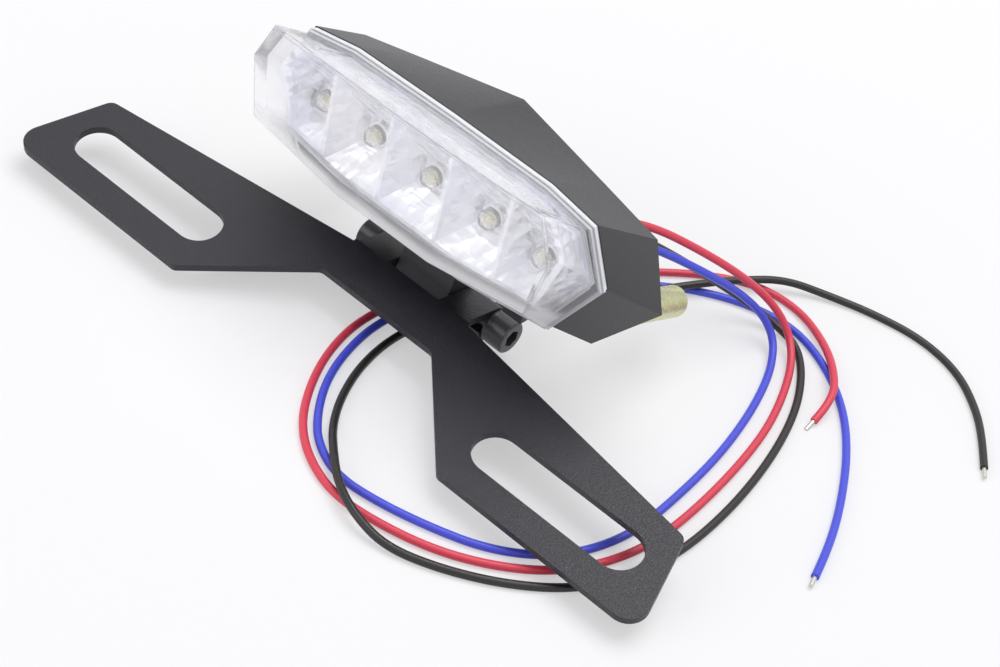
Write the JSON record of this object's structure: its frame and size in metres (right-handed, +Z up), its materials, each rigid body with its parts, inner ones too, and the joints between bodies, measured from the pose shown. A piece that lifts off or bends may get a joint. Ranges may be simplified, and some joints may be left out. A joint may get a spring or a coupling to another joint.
{
  "type": "tail light with plate holder",
  "caption": "Wedge-shaped tail light with a clear stepped lens, rear studs and loose leads, and a slotted bow-tie plate bracket hinged under it.",
  "frame": {"origin": "centre of the rear mounting face, midway between the two studs", "axes": "+X to the right seen from the lens, along the lamp; +Y from the lens to the rear face; +Z up"},
  "size_m": [0.2209, 0.1603, 0.0698],
  "materials": {
    "powder_black": "fine-textured black powder coat",
    "black_steel": "black oxide",
    "brass": "plain turned",
    "black_shell": "satin moulded",
    "clear_lens": "clear polished",
    "black_rubber": "plain",
    "white_silicone": "translucent white",
    "metallised": "vacuum metallised",
    "board_green": "solder mask",
    "led_epoxy": "water clear",
    "component_black": "moulded",
    "steel": "bright zinc",
    "yellow_zinc": "yellow passivated zinc",
    "red_pvc": "satin PVC",
    "blue_pvc": "satin PVC",
    "black_pvc": "satin PVC",
    "tinned_copper": "tinned strands"
  },
  "bodies": {
    "lamp": {"hinge_screws": "black_steel", "hinge_washers": "black_steel", "knuckle_inserts": "brass", "lamp_housing": "black_shell", "lens": "clear_lens", "lens_gasket": "white_silicone", "reflector": "metallised", "circuit_board": "board_green", "leds": "led_epoxy", "resistors": "component_black", "diode": "component_black", "board_screws": "steel", "mounting_studs": "yellow_zinc", "wire_grommet": "black_rubber", "red_wire": "red_pvc", "blue_wire": "blue_pvc", "black_wire": "black_pvc", "red_strands": "tinned_copper", "blue_strands": "tinned_copper", "black_strands": "tinned_copper"},
    "bracket": {"plate_bracket": "powder_black"}
  },
  "joints": [
    {"name": "bracket_hinge", "type": "hinge", "parent": "lamp", "child": "bracket", "pos_m": [0, -0.0053, -0.0207], "axis": [-1, 0, 0], "range_deg": [0, 30]}
  ]
}
